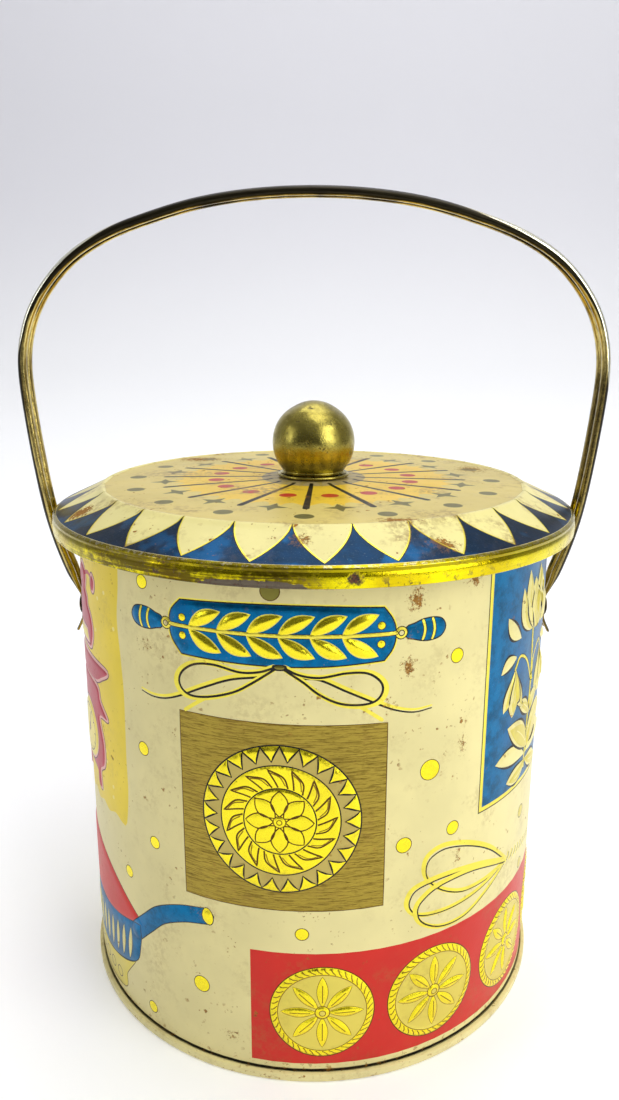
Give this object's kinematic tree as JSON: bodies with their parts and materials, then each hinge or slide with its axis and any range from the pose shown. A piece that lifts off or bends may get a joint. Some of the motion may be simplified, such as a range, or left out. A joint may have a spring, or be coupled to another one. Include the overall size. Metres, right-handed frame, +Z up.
{
  "type": "biscuit tin",
  "caption": "Round tinplate biscuit tin with a lift-off bevelled lid, a ball knob and a swinging arched bail handle pivoted on rivets at its sides.",
  "frame": {"origin": "centre of the base, on the surface that the tin stands on", "axes": "+Z up along the axis of the round body and lid; X along the bail handle's pivot axis; Y across it, with the wall's front at -Y"},
  "size_m": [0.1776, 0.157, 0.2395],
  "materials": {
    "cream_litho": "printed and varnished tinplate",
    "blue_litho": "printed and varnished tinplate",
    "bare_tinplate": "plain tinplate",
    "brass_finish": "tarnished brass",
    "plain_steel": "plain steel"
  },
  "bodies": {
    "tin": {"body_wall": "cream_litho", "base_pan": "cream_litho", "handle_rivet_left": "brass_finish", "handle_rivet_right": "brass_finish", "rivet_washer_left": "plain_steel", "rivet_washer_right": "plain_steel", "spacer_washer_left": "brass_finish", "spacer_washer_right": "brass_finish"},
    "lid": {"lid_shell": "blue_litho", "lid_plug_ring": "bare_tinplate", "knob_ball": "brass_finish", "knob_collar": "brass_finish", "knob_screw": "plain_steel", "knob_washer": "plain_steel", "knob_nut": "plain_steel"},
    "bail": {"bail_handle": "brass_finish"}
  },
  "joints": [
    {"name": "lid_lift", "type": "slide", "parent": "tin", "child": "lid", "axis": [0, 0, 1], "range_m": [0, 0.05]},
    {"name": "bail_swing", "type": "hinge", "parent": "tin", "child": "bail", "pos_m": [0, 0, 0.114], "axis": [1, 0, 0], "range_deg": [-120, 120]}
  ]
}
